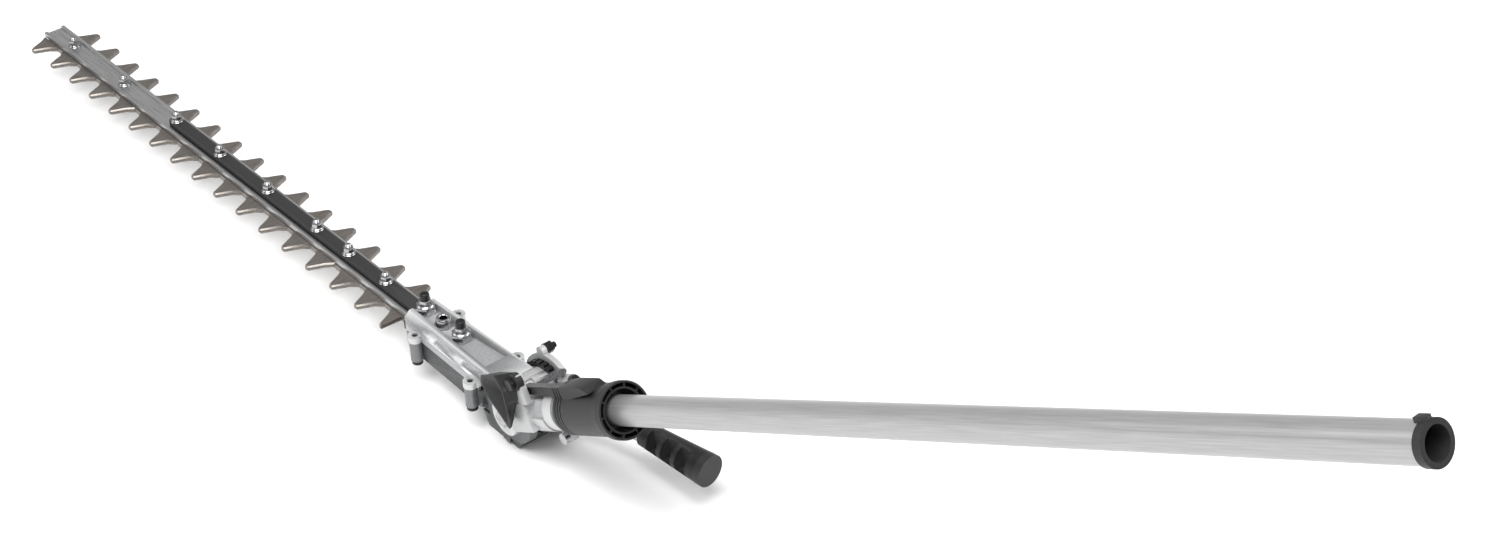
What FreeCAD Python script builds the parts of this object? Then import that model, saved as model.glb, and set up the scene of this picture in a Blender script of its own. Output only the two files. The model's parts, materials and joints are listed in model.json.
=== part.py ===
"""Long-reach hedge trimmer head: articulated gear head, double blade and drive tube."""
import FreeCAD
import Part
import math
import os

V = FreeCAD.Vector
X_DIR = V(1, 0, 0)
Y_DIR = V(0, 1, 0)
Z_DIR = V(0, 0, 1)

# Joint
PIVOT_H = 33.0          # pivot axis above the rest face
SHAFT_ANGLE = 29.8      # drive tube above the blade plane as stored
AXLE_R = 4.0
RUN_FIT = 0.05          # radial clearance of a running fit
GAP = 0.4               # clearance between parts that move past each other
HUB_R = 24.2
HUB_WALL = 3.0
HUB_Y = (-14.0, 19.0)
SLOT_HALF_Y = 6.5       # hub slot that the drive shaft swings in
SLOT_FROM, SLOT_TO = -68.0, 88.0
SWEEP_R = 33.4          # room round the pivot for the left arm and its cover
RING_R = 28.5
RING_Y = (19.0, 24.0)
FLANGE_R = 32.4
FLANGE_Y = (24.5, 29.0)
BUSH_R = 6.5
ARM_R = 15.0            # round end of the left fork arm
SHUTTER_R = (21.9, 22.8)
RIM_R = 31.0            # round rim of the lower case beside the left arm
LOCK_BOLT = (34.0, 80.0)     # radius and angle above the tube
EAR_END, EAR_Y, EAR_N = 40.0, 24.0, 10.5    # ear screw, parallel to the tube
ARM_Y = (-19.5, HUB_Y[0] - GAP)     # left fork arm
BOLT_BOSS_R = 4.2

# Cover over the left arm; outlines are (along the tube, above it)
COVER_SCREW = (37.0, 29.0)
COVER_SCREW_R = 2.2
COVER_SEAT_Y = -21.5    # seat of the screw's head
COVER_Y = (-28.0, -15.5)
COVER_OUTER = [(2, 33), (7, 38.8), (14, 39), (26, 38.5), (30, 25), (27, 14), (24, 2), (18.1, -4.8),
               (3.7, 21.6)]
COVER_BASE = [(-14, 27), (8, 32), (14, 35.5), (38, 35.5), (40, 25), (34.6, 15.5), (15, 4.2), (9, -6), (-8, 6)]
COVER_APEX = (20.0, -21.0, 22.0)    # deepest point of the hollowed pyramid

# Drive tube
TUBE_R = 11.2
TUBE_WALL = 1.6
TUBE_FROM, TUBE_TO = 52.0, 858.0
SHAFT_R = 4.0
SHAFT_END = TUBE_TO - 24
MOUTH_R = 9.0           # bore of the end bush
MOUTH_DEPTH = 18.0
SOCKET_R = 2.6          # socket in the drive shaft's end
SOCKET_DEPTH = 15.0
NECK_R = 14.2
NECK_FROM, NECK_TO = 27.0, 68.0
SLEEVE_R = 19.3
SLEEVE_BORE = 15.4
SLEEVE_FROM, SLEEVE_TO = 74.0, 142.0
SPRING_FROM = 90.0
SPRING_TURNS = 8
COLLAR_R = 12.2

# Blade
PITCH = 35.0
TEETH_LEFT = 17
TEETH_RIGHT = 16
LEFT_TIP = -706.8       # first left tooth
RIGHT_TIP = -690.0      # first right tooth
TOOTH_REACH = 29.5
BLADE_T = 2.2
BLADE_TOP = PIVOT_H + 9.0
BLADE_GAP = 0.3
SPINE_HALF = 11.0
BLADE_TIP_X = -712.0
STROKE = 6.0            # each blade moves this far each way
BOLT_X = (-680.0, -590.0, -498.0, -427.0, -352.0, -278.0, -232.0, -180.0)
STUD_X = (-125.0, -78.0)
BOLT_R = 2.5
SPACER_R = 4.2
BAR_HALF = 10.0
BAR_FROM, BAR_TO = -718.0, -64.0
BAR_BASE = BLADE_TOP + BLADE_GAP
BAR_WEB = 3.0
BAR_LIP = 4.6
LOW_BLADE_BASE = BLADE_TOP - 2 * BLADE_T - BLADE_GAP
STRIP_FROM, STRIP_TO = -506.0, -136.0
STRIP_HALF = 5.8
STRIP_T = 5.0

# Gear case
CASE_FRONT = -136.0
PARTING = BLADE_TOP
LUG_TOP = PARTING + 5.0
PLATEAU_Z = PARTING + 10.0
RAIL_Z = PLATEAU_Z + 4.0
NUT_TOP = PLATEAU_Z + 6.5       # large nut, then its collar, lock nut and cap
COLLAR_TOP = PLATEAU_Z + 8.0
LOCK_TOP = PLATEAU_Z + 12.0
STUD_END = PLATEAU_Z + 15.0
SUMP_TOP = PARTING - 18.5    # lower edge of the straight skirt
BOSS_BASE = PARTING - 18.0
CRANK_SEAT = (PIVOT_H - 17.5, PIVOT_H - 13.5)
LUGS = ((-112.0, 20.5), (-38.0, 22.0))
CRANK_X = -50.0
CRANK_THROW = 4.5
ECCENTRIC_R = 6.5
WINDOW_Z = BLADE_TOP - 5.3   # floor of the blades' channel in the case
FORK_HALF = 12.2        # half width inside the blade fork
LEVER_FROM = (84.0, 47.0, PARTING - 10.0)
LEVER_TO = (148.0, 55.0, PARTING - 10.0)

# Bevel gears, apex of the joint set on the pivot
BEVEL_PINION_R = 9.0
BEVEL_GEAR_R = 12.0
CRANK_PINION_R = 8.0
CRANK_GEAR_R = 16.0
FACE_RATIO = 0.6        # small end of a bevel tooth over its large end
CRANK_FACE = 0.76


def tube_frame(shape):
    """Turns a shape modelled along +X with its origin on the pivot up to the tube's direction."""
    out = shape.copy()
    out.rotate(V(0, 0, 0), Y_DIR, -SHAFT_ANGLE)
    out.translate(V(0, 0, PIVOT_H))
    return out


def cyl(start, direction, radius, length):
    """Cylinder from a start point along a direction."""
    return Part.makeCylinder(radius, length, start, direction)


def along_x(x0, x1, radius, y=0.0, z=0.0):
    """Cylinder parallel to X."""
    return cyl(V(x0, y, z), X_DIR, radius, x1 - x0)


def along_y(y0, y1, radius, x=0.0, z=PIVOT_H):
    """Cylinder parallel to Y, on the pivot's height unless told otherwise."""
    return cyl(V(x, y0, z), Y_DIR, radius, y1 - y0)


def along_z(z0, z1, radius, x=0.0, y=0.0):
    """Cylinder parallel to Z."""
    return cyl(V(x, y, z0), Z_DIR, radius, z1 - z0)


def ring_x(x0, x1, outer, inner, y=0.0, z=0.0):
    """Tube section parallel to X."""
    return along_x(x0, x1, outer, y, z).cut(along_x(x0 - 1, x1 + 1, inner, y, z))


def ring_y(y0, y1, outer, inner, x=0.0, z=PIVOT_H):
    """Tube section parallel to Y."""
    return along_y(y0, y1, outer, x, z).cut(along_y(y0 - 1, y1 + 1, inner, x, z))


def ring_z(z0, z1, outer, inner, x=0.0, y=0.0):
    """Tube section parallel to Z."""
    return along_z(z0, z1, outer, x, y).cut(along_z(z0 - 1, z1 + 1, inner, x, y))


def block(x0, x1, y0, y1, z0, z1):
    """Box between two corners."""
    return Part.makeBox(x1 - x0, y1 - y0, z1 - z0, V(x0, y0, z0))


def prism(points, direction):
    """Closed outline of 3-D points, extruded along a vector."""
    wire = Part.makePolygon([V(*p) for p in points + points[:1]])
    return Part.Face(wire).extrude(direction)


def plate_xy(points, z0, z1):
    """Flat plate from an outline in X and Y."""
    return prism([(x, y, z0) for x, y in points], V(0, 0, z1 - z0))


def loft(low, high):
    """Straight-sided solid between two outlines with the same number of points."""
    wires = [Part.makePolygon([V(*p) for p in pts + pts[:1]]) for pts in (low, high)]
    return Part.makeLoft(wires, True, True)


def frustum(base, direction, r0, r1, height):
    """Cone section from a base point along a direction."""
    return Part.makeCone(r0, r1, height, base, direction)


def sector_y(radius, y0, y1, angle_from, angle_to):
    """Pie slice about the pivot axis; angles are above +X."""
    face = Part.makePolygon([V(0, y0, 0), V(radius, y0, 0), V(radius, y1, 0), V(0, y1, 0), V(0, y0, 0)])
    out = Part.Face(face).revolve(V(0, 0, 0), V(0, -1, 0), angle_to - angle_from)
    out.rotate(V(0, 0, 0), V(0, -1, 0), angle_from)
    out.translate(V(0, 0, PIVOT_H))
    return out


def hexagon(across, centre, direction, height):
    """Hexagonal bar; across is the distance between flats."""
    radius = across / math.sqrt(3)
    pts = [V(radius * math.cos(i * math.pi / 3), radius * math.sin(i * math.pi / 3), 0) for i in range(7)]
    out = Part.Face(Part.makePolygon(pts)).extrude(V(0, 0, height))
    out.Placement = FreeCAD.Placement(centre, FreeCAD.Rotation(Z_DIR, direction))
    return out


def union(shapes):
    """One solid from several."""
    first = shapes[0]
    return first.multiFuse(shapes[1:]).removeSplitter() if len(shapes) > 1 else first


def group(shapes):
    """Separate solids kept as one node."""
    return Part.makeCompound(shapes)


def bevel(radius, mate, teeth, back, bore, small=FACE_RATIO):
    """Bevel gear along +Z: apex at the origin, large end at z = mate, with radial tooth gaps."""
    body = frustum(V(0, 0, mate * small), Z_DIR, radius * small - GAP, radius - GAP, mate * (1 - small))
    body = body.fuse(along_z(mate, mate + back, radius - GAP))
    depth = radius * 0.14
    slope = math.degrees(math.atan2(radius, mate))
    width = math.pi * radius / teeth
    cutter = block(-width / 2, width / 2, -depth, depth, mate * small * 0.5, mate * 1.6)
    cutter.rotate(V(0, 0, 0), X_DIR, -slope)
    cuts = []
    for i in range(teeth):
        gap_cut = cutter.copy()
        gap_cut.rotate(V(0, 0, 0), Z_DIR, 360.0 * i / teeth)
        cuts.append(gap_cut)
    body = body.cut(cuts)
    return body.cut(along_z(-1, mate + back + 1, bore)) if bore else body


def aim(shape, direction, origin):
    """Points a shape modelled along +Z along a direction, from an origin."""
    out = shape.copy()
    out.Placement = FreeCAD.Placement(origin, FreeCAD.Rotation(Z_DIR, direction))
    return out


# ---------------------------------------------------------------- drive tube side

def shaft_tube():
    """Long drawn tube from the yoke to the end bush."""
    return tube_frame(ring_x(TUBE_FROM, TUBE_TO, TUBE_R, TUBE_R - TUBE_WALL))


def end_collar():
    """End bush in the tube's open end, with a thin flange outside and an index lug on top."""
    liner = ring_x(TUBE_TO - MOUTH_DEPTH, TUBE_TO + 2, TUBE_R - TUBE_WALL, MOUTH_R)
    rim = ring_x(TUBE_TO - 3, TUBE_TO + 2, COLLAR_R, TUBE_R + 0.02)
    face = ring_x(TUBE_TO, TUBE_TO + 2, TUBE_R + 0.5, MOUTH_R)
    lug = block(TUBE_TO - 6, TUBE_TO + 1, -2.5, 2.5, TUBE_R + 0.1, COLLAR_R + 1.9)
    return tube_frame(union([liner, rim, face, lug]))


def tube_bushes():
    """Three bushes that carry the drive shaft inside the tube."""
    places = [120.0, 420.0, 790.0]
    inner = TUBE_R - TUBE_WALL
    return group([tube_frame(ring_x(s, s + 18, inner, SHAFT_R + RUN_FIT)) for s in places])


def yoke():
    """Fork casting: neck round the tube, bridge, left arm disc and right arm."""
    neck = along_x(NECK_FROM, NECK_TO, NECK_R)
    bridge = block(26.5, 36, ARM_Y[0], FLANGE_Y[1] - 0.1, -11.5, 11.5)
    left_arm = block(0, 36, *ARM_Y, -11.5, 11.5)
    left_disc = along_y(*ARM_Y, ARM_R, 0, 0)
    right_arm = block(0, 36, FLANGE_Y[0], FLANGE_Y[1], -12, 12)
    right_disc = along_y(FLANGE_Y[0], FLANGE_Y[1], 23.0, 0, 0)
    screw_post = block(31, 42, *ARM_Y, 11, 34)
    ear = along_x(18, EAR_END, 5.4, EAR_Y, EAR_N)
    body = union([neck, bridge, left_arm, left_disc, right_arm, right_disc, screw_post, ear])
    keep_clear = along_y(HUB_Y[0] - GAP, FLANGE_Y[0], RING_R + GAP, 0, 0)
    body = body.cut(keep_clear)
    body = body.cut(along_y(-30, 40, BUSH_R, 0, 0))
    body = body.cut(along_y(*ARM_Y, COVER_SCREW_R, *COVER_SCREW))
    body = body.cut(along_x(EAR_END - 12, EAR_END + 1, 2.4, EAR_Y, EAR_N))
    body = body.cut(along_x(0, 40, SHAFT_R + 1.2))
    body = body.cut(along_x(38, 47, 9.0))
    body = body.cut(along_x(47, 80, TUBE_R))
    slit = block(50, NECK_TO + 1, -1.2, 1.2, -NECK_R - 1, -TUBE_R + 2)
    return tube_frame(body.cut(slit))


def fork_bushes():
    """Plain bushes in both fork arms, in which the axle turns."""
    left = ring_y(*ARM_Y, BUSH_R, AXLE_R + RUN_FIT)
    right = ring_y(*FLANGE_Y, BUSH_R, AXLE_R + RUN_FIT)
    return group([left, right])


def pivot_axle():
    """Axle pressed into the head, with a head on the left and the lever clamped on its right end."""
    axle = along_y(-20.5, 39.5, AXLE_R)
    head = hexagon(12, V(0, -22.9, PIVOT_H), Y_DIR, 3.0)
    return union([axle, head])


def axle_nut():
    """Nut and washer that hold the lever's arm on the axle."""
    nut = hexagon(13, V(0, 35.2, PIVOT_H), Y_DIR, 5.5)
    washer = along_y(34.0, 35.2, 8.5)
    return union([nut, washer]).cut(along_y(20, 50, AXLE_R))


def clamp_ring():
    """Clamp collar round the end of the neck with two ears under it."""
    ring = ring_x(54, 66, NECK_R + 2.6, NECK_R)
    ears = block(55, 65, -7, 7, -NECK_R - 9, -NECK_R - 1)
    body = ring.fuse(ears).cut(along_x(50, 70, NECK_R))
    slit = block(50, 70, -1.2, 1.2, -30, -NECK_R + 2)
    hole = cyl(V(60, -10, -NECK_R - 5.5), Y_DIR, 2.5, 20)
    return tube_frame(body.cut(slit).cut(hole))


def clamp_bolt():
    """Cross bolt and nut that close the clamp ring's ears."""
    z = -NECK_R - 5.5
    shank = cyl(V(60, -7, z), Y_DIR, 2.5, 17)
    head = cyl(V(60, -11.5, z), Y_DIR, 4.4, 4.5)
    nut = hexagon(8, V(60, 7, z), Y_DIR, 3.0)
    return tube_frame(union([shank, head, nut]))


def neck_saddle():
    """Half-round saddle plate screwed under the front of the neck."""
    shell = ring_x(31, 52, NECK_R + 3.4, NECK_R)
    upper = block(20, 60, -20, 20, -2.0, 20)
    return tube_frame(shell.cut(upper).cut(block(26, 36.01, -20, 29, -12, 12)))


def lock_bolt_at():
    """Place of the hex bolt on the flange ring, along the tube and above it."""
    radius, angle = LOCK_BOLT
    return radius * math.cos(math.radians(angle)), radius * math.sin(math.radians(angle))


def flange_ring():
    """Bright outer ring round the right arm's disc, open where the arm leaves it."""
    ring = ring_y(*FLANGE_Y, FLANGE_R, 23.0, 0, 0)
    x, z = lock_bolt_at()
    ring = ring.fuse(along_y(*FLANGE_Y, BOLT_BOSS_R, x, z)).removeSplitter()
    return tube_frame(ring.cut(block(0, 60, 20, 40, -12.0, EAR_N + 5.8)))


def ear_screw():
    """Socket screw in the ear, parallel to the tube."""
    head = along_x(EAR_END, EAR_END + 4, 4.6, EAR_Y, EAR_N)
    shank = along_x(EAR_END - 12, EAR_END + 0.5, 2.4, EAR_Y, EAR_N)
    socket = hexagon(4.0, V(EAR_END + 2, EAR_Y, EAR_N), X_DIR, 3.0)
    return tube_frame(union([head, shank]).cut(socket))


def lock_bolt():
    """Hex bolt standing on the flange ring's rim, parallel to the pivot."""
    x, z = lock_bolt_at()
    flange = cyl(V(x, FLANGE_Y[1], z), Y_DIR, 4.8, 1.6)
    head = hexagon(8, V(x, FLANGE_Y[1] + 1.6, z), Y_DIR, 5.4)
    tip = cyl(V(x, FLANGE_Y[1] + 7.0, z), Y_DIR, 2.5, 3.4)
    return tube_frame(union([flange, head, tip]))


def joint_shutter():
    """Curved shutter on the yoke that closes the hub's slot round the drive shaft."""
    shell = ring_y(-SLOT_HALF_Y + 0.1, SLOT_HALF_Y - 0.1, SHUTTER_R[1], SHUTTER_R[0])
    shell = shell.common(sector_y(30, -8, 8, SHAFT_ANGLE - 15, SHAFT_ANGLE + 72))
    stem = tube_frame(ring_x(SHUTTER_R[0] - 0.5, RING_R - GAP, SHAFT_R + 2.1, SHAFT_R + 0.7))
    hole = tube_frame(along_x(10, 40, SHAFT_R + 0.7))
    return shell.fuse(stem).cut(hole)


def joint_cover():
    """Faceted cover over the left arm, with a hollowed pyramid outside and a screw pad."""
    outer_y, inner_y = COVER_Y
    body = loft([(x, inner_y, z) for x, z in COVER_BASE], [(x, outer_y, z) for x, z in COVER_OUTER])
    pad = along_y(COVER_SEAT_Y, inner_y, 6.6, *COVER_SCREW)
    body = body.fuse(pad).cut(along_y(-60, COVER_SEAT_Y, 6.0, *COVER_SCREW))
    apex = V(*COVER_APEX)
    rim = [(apex.x + (x - apex.x) * 0.84, outer_y - 0.01, apex.z + (z - apex.z) * 0.84)
           for x, z in COVER_OUTER]
    floor = [(apex.x + (x - apex.x) * 0.05, apex.y, apex.z + (z - apex.z) * 0.05) for x, z in COVER_OUTER]
    body = body.cut(loft(rim, floor))
    room = [(14 + (x - 14) * 0.8, -18.6, 18 + (z - 18) * 0.8) for x, z in COVER_BASE]
    body = body.cut(prism(room, V(0, 14, 0)))
    body = body.cut(along_y(-24.5, 0, ARM_R + 1.2, 0, 0))
    body = body.cut(block(0, 60, -20, 0, -15, 15))
    body = body.cut(block(30.8, 42.2, -19.8, 0, 10, 34.2))
    return tube_frame(body.cut(along_y(-60, 0, COVER_SCREW_R, *COVER_SCREW)))


def cover_screw():
    """Socket screw through the cover's pad into the yoke."""
    x, z = COVER_SCREW
    shank = along_y(COVER_SEAT_Y - 0.5, COVER_Y[1], COVER_SCREW_R, x, z)
    head = along_y(COVER_SEAT_Y - 4.0, COVER_SEAT_Y, 4.6, x, z)
    socket = hexagon(3.8, V(x, COVER_SEAT_Y - 5.0, z), Y_DIR, 2.8)
    return tube_frame(union([shank, head]).cut(socket))


def pinion_bearing():
    """Ball bearing in the neck, drawn as its outer ring, inner ring and shields."""
    outer = ring_x(38.0, 46.0, 9.0, 7.6)
    inner = ring_x(38.0, 46.0, 5.6, SHAFT_R + RUN_FIT)
    shield = ring_x(38.6, 45.4, 7.6, 5.6)
    return tube_frame(union([outer, inner, shield]))


def release_sleeve():
    """Sliding sleeve with grip grooves, a top hump for the push bar and a flared ribbed mouth."""
    body = along_x(SLEEVE_FROM, SLEEVE_TO - 16, SLEEVE_R)
    flare = frustum(V(SLEEVE_TO - 16, 0, 0), X_DIR, SLEEVE_R, 21.2, 10)
    rim = along_x(SLEEVE_TO - 6, SLEEVE_TO, 21.2)
    hump = prism([(SLEEVE_FROM, -13.5, 10), (SLEEVE_FROM, -13.5, 21), (SLEEVE_FROM + 16, -13.5, 22.6),
                  (SLEEVE_TO - 26, -13.5, 22.6), (SLEEVE_TO - 18, -13.5, 18)], V(0, 18, 0))
    body = union([body, flare, rim, hump])
    body = body.cut(along_x(SLEEVE_FROM - 1, SLEEVE_TO + 1, SLEEVE_BORE))
    body = body.cut(ring_x(SLEEVE_TO - 12, SLEEVE_TO + 1, 19.6, SLEEVE_BORE - 1))
    middle = ring_x(SLEEVE_TO - 13, SLEEVE_TO - 1, SLEEVE_BORE + 1.4, SLEEVE_BORE)
    ribs = []
    for i in range(10):
        rib = block(SLEEVE_TO - 13, SLEEVE_TO - 1, -0.6, 0.6, SLEEVE_BORE + 0.8, 20.2)
        rib.rotate(V(0, 0, 0), X_DIR, 36 * i + 12)
        ribs.append(rib)
    grooves = [ring_x(s, s + 1.2, 30, SLEEVE_R - 0.7) for s in (77, 80.5, 84)]
    shoulder = ring_x(SPRING_FROM - 3, SPRING_FROM, SLEEVE_BORE + 1, TUBE_R + GAP)
    body = union([body, middle, shoulder] + ribs).cut(grooves)
    return tube_frame(body.cut(block(SLEEVE_FROM - 1, SLEEVE_FROM + 12, -13, -5, 16.1, 22.3)))


def push_bar():
    """Flat bar from the sleeve to the lock pin under the cover."""
    bar = block(30, SLEEVE_FROM + 12, -13, -5, 16.1, 22.3)
    return tube_frame(bar)


def lock_pin():
    """Pin that drops into the index ring, carried across on the bar's end."""
    arm = block(31, 37, -5, 21, 17.0, 21.5)
    pin = along_x(28.2, 37, 2.2, 21.5, 19.2)
    return tube_frame(union([arm, pin]))


def sleeve_spring():
    """Return spring between the sleeve's shoulder and the stop ring, drawn as linked turns."""
    pitch_len, wire, coil_r = 4.0, 0.8, 13.4
    first = SPRING_FROM + wire + 0.1
    turns = [Part.makeTorus(coil_r, wire, V(first + i * pitch_len, 0, 0), X_DIR) for i in range(SPRING_TURNS)]
    reach = pitch_len * (SPRING_TURNS - 1)
    return tube_frame(union(turns + [along_x(first, first + reach, 0.6, coil_r, 0)]))


def spring_stop():
    """Snap ring on the tube that the return spring pushes against."""
    start = SPRING_FROM + 4.0 * (SPRING_TURNS - 1) + 1.8
    return tube_frame(ring_x(start, start + 2.0, SLEEVE_BORE - GAP, TUBE_R))


# ---------------------------------------------------------------- rotating drive

def drive_shaft():
    """Steel shaft down the tube, with a coupling socket in its free end."""
    shaft = along_x(17.0, SHAFT_END, SHAFT_R)
    return tube_frame(shaft.cut(along_x(SHAFT_END - SOCKET_DEPTH, SHAFT_END + 1, SOCKET_R)))


def drive_pinion():
    """Bevel pinion on the drive shaft, with a boss at its back."""
    gear = bevel(BEVEL_PINION_R, BEVEL_GEAR_R, 15, 4.0, 0)
    gear = gear.cut(along_z(0, 8.4, 4.5)).cut(along_z(14.0, 20, SHAFT_R))
    turned = aim(gear, X_DIR, V(0, 0, 0))
    boss = ring_x(16.0, 19.0, 6.2, SHAFT_R)
    return tube_frame(turned.fuse(boss).cut(along_x(16.9, 30, SHAFT_R)))


def cross_gear():
    """Bevel idler on the fixed axle that passes the drive across the joint."""
    gear = bevel(BEVEL_GEAR_R, BEVEL_PINION_R, 20, 1.6, AXLE_R + RUN_FIT)
    return aim(gear, V(0, -1, 0), V(0, 0, PIVOT_H))


def head_pinion():
    """Double-ended bevel shaft in the head: joint pinion and crank pinion."""
    first = aim(bevel(BEVEL_PINION_R, BEVEL_GEAR_R, 15, 2.6, 0), V(-1, 0, 0), V(0, 0, PIVOT_H))
    second = aim(bevel(CRANK_PINION_R, CRANK_GEAR_R, 14, 2.6, 0, CRANK_FACE), X_DIR, V(CRANK_X, 0, PIVOT_H))
    shaft = along_x(CRANK_X + CRANK_GEAR_R, -13, 4.0, 0, PIVOT_H)
    return union([first.cut(along_x(-8.6, 0, 4.5, 0, PIVOT_H)), shaft, second])


def crank_gear():
    """Crank gear: bevel wheel, vertical shaft and two opposed eccentrics at the blades."""
    wheel = bevel(CRANK_GEAR_R, CRANK_PINION_R, 28, 2.6, 0, CRANK_FACE)
    wheel = aim(wheel, V(0, 0, -1), V(CRANK_X, 0, PIVOT_H))
    shaft = along_z(CRANK_SEAT[0] - 1.0, BLADE_TOP + 6.0, 3.5, CRANK_X)
    low = BLADE_TOP - 2 * BLADE_T - BLADE_GAP
    lower = along_z(low, low + BLADE_T, ECCENTRIC_R, CRANK_X + CRANK_THROW)
    upper = along_z(BLADE_TOP - BLADE_T, BLADE_TOP, ECCENTRIC_R, CRANK_X - CRANK_THROW)
    body = wheel.fuse(shaft)
    return body.fuse(lower).fuse(upper)


def crank_bearings():
    """Bearings above and below the crank gear."""
    low = ring_z(CRANK_SEAT[0], CRANK_SEAT[1], 8.0, 3.5 + RUN_FIT, CRANK_X)
    high = ring_z(BLADE_TOP + 1.5, BLADE_TOP + 6.0, 8.0, 3.5 + RUN_FIT, CRANK_X)
    return group([low, high])


def head_pinion_bearing():
    """Bearing that carries the head's bevel shaft."""
    return ring_x(-27.0, -20.0, 8.0, 4.0 + RUN_FIT, 0, PIVOT_H)


# ---------------------------------------------------------------- gear case

def head_cavity():
    """Room for the crank gear, the pinions and the blade forks inside the case."""
    crank = along_z(PIVOT_H - 11.8, PARTING + 1.2, CRANK_GEAR_R + 1.4, CRANK_X)
    fork = block(CRANK_X - 29.5, -24, -16.6, 16.6, WINDOW_Z, PARTING + 0.6)
    pinion = along_x(-38.5, -27, 9.2, 0, PIVOT_H)
    shaft_way = along_x(-40, -10, 4.6, 0, PIVOT_H)
    seat = along_x(-27, -20, 8.0, 0, PIVOT_H)
    drum = along_y(HUB_Y[0] + HUB_WALL, HUB_Y[1] - HUB_WALL, HUB_R - HUB_WALL)
    rebate = along_y(-SLOT_HALF_Y - 0.4, SLOT_HALF_Y + 0.4, SHUTTER_R[1] + 0.4)
    pinion_room = along_x(-20.01, -5, 10.4, 0, PIVOT_H)
    return [crank, fork, pinion, shaft_way, seat, drum, rebate, pinion_room]


def hub_slot():
    """Slot in the hub that the drive shaft swings through."""
    return sector_y(40, -SLOT_HALF_Y, SLOT_HALF_Y, SLOT_FROM, SLOT_TO)


def lug_screw_axes():
    """Places of the four case screws."""
    return [(x, side * y) for x, y in LUGS for side in (-1, 1)]


def joint_room():
    """Space beside the hub for the fork arms, the cover and the index ring, and the axle's hole."""
    return [along_y(-60, HUB_Y[0], SWEEP_R), along_y(HUB_Y[1], 60, FLANGE_R + 1), along_y(-40, 40, AXLE_R)]


def upper_case():
    """Ribbed upper casting with a recessed plateau between two rails, lugs and the hub's dome."""
    flange = plate_xy([(CASE_FRONT, -13), (CASE_FRONT + 8, -18), (-30, -20), (-8, -16), (-8, 18),
                       (-30, 20), (CASE_FRONT + 8, 18), (CASE_FRONT, 13)], PARTING, LUG_TOP)
    low = [(CASE_FRONT, -13.5, LUG_TOP), (-2, -17, LUG_TOP), (-2, 18.5, LUG_TOP), (CASE_FRONT, 13.5, LUG_TOP)]
    high = [(CASE_FRONT + 5, -11.4, RAIL_Z), (-10, -14, RAIL_Z), (-10, 16, RAIL_Z),
            (CASE_FRONT + 5, 11.4, RAIL_Z)]
    ridge = loft(low, high)
    plateau = [(CASE_FRONT - 1, -7.8), (-34, -10.0), (-34, 12.0), (CASE_FRONT - 1, 7.8)]
    lugs = [along_z(PARTING, LUG_TOP, 5.6, x, y) for x, y in lug_screw_axes()]
    dome = along_y(HUB_Y[0], HUB_Y[1], HUB_R)
    ribs = []
    for x0 in (-107.0, -72.0):
        for side in (-1, 1):
            y0, y1 = sorted((side * 13.0, side * 16.8))
            ribs.append(block(x0, x0 + 16, y0, y1, LUG_TOP, LUG_TOP + 4.5))
    body = union([flange, ridge, dome] + lugs + ribs)
    body = body.cut(plate_xy(plateau, PLATEAU_Z, RAIL_Z + 5))
    body = body.cut(block(-150, 40, -40, 40, -40, PARTING))
    body = body.cut(block(CASE_FRONT - 1, BAR_TO + 0.5, -BAR_HALF - 0.02, BAR_HALF + 0.02,
                          PARTING - 1, BAR_BASE + BAR_LIP))
    body = body.cut(head_cavity()).cut(hub_slot())
    body = body.cut(along_z(0, PARTING + 6.01, 8.0, CRANK_X))
    holes = [along_z(0, 60, 2.4, x, y) for x, y in lug_screw_axes()]
    studs = [along_z(0, 60, 3.2, x, 0) for x in STUD_X]
    plug = along_z(0, 60, 4.0, sum(STUD_X) / 2)
    return body.cut(holes + studs + [plug] + joint_room())


def lower_case():
    """Darker lower casting: gear sump, screw bosses, hub floor and the flat rest pad."""
    body = plate_xy([(CASE_FRONT, -13), (CASE_FRONT + 8, -16.5), (-30, -19), (-8, -16), (-8, 18),
                     (-30, 19), (CASE_FRONT + 8, 16.5), (CASE_FRONT, 13)], SUMP_TOP, PARTING)
    top = SUMP_TOP + 0.01
    belly_top = [(-100, -15.5, top), (-20, -18, top), (-20, 18, top), (-100, 15.5, top)]
    belly_low = [(-70, -9, top - 5), (-28, -13, top - 5), (-28, 13, top - 5), (-70, 9, top - 5)]
    belly = loft(belly_low, belly_top)
    bearing_cup = along_z(CRANK_SEAT[0] - 3.0, top, 11.0, CRANK_X)
    pad_low = [(-34, -11, 0), (3, -11, 0), (3, 15, 0), (-34, 15, 0)]
    pad_top = [(-38, -13, 15), (14, -13, 15), (14, 18, 15), (-38, 18, 15)]
    pad = loft(pad_low, pad_top)
    rim = sector_y(RIM_R, HUB_Y[0], HUB_Y[0] + 4.5, 165, 262)
    hub = along_y(HUB_Y[0], HUB_Y[1], HUB_R)
    bosses = [along_z(BOSS_BASE, PARTING, 5.0, x, y) for x, y in lug_screw_axes()]
    body = union([body, belly, bearing_cup, pad, rim, hub] + bosses)
    body = body.cut(block(-150, 40, -40, 40, PARTING, 90))
    body = body.cut(block(CASE_FRONT - 1, CRANK_X - 10, -13.6, 13.6, WINDOW_Z, PARTING + 1))
    body = body.cut(head_cavity()).cut(hub_slot())
    body = body.cut(along_z(CRANK_SEAT[0], PIVOT_H - 11, 8.0, CRANK_X))
    body = body.cut(along_z(CRANK_SEAT[0] - 1.5, PIVOT_H - 13, 4.2, CRANK_X))
    holes = [along_z(0, 60, 2.4, x, y) for x, y in lug_screw_axes()]
    studs = [along_z(BOSS_BASE + 2, 60, 3.2, x, 0) for x in STUD_X]
    recesses = [along_z(BOSS_BASE - 6, BOSS_BASE, 5.2, x, y) for x, y in lug_screw_axes()]
    return body.cut(holes + studs + recesses + joint_room())


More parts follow.
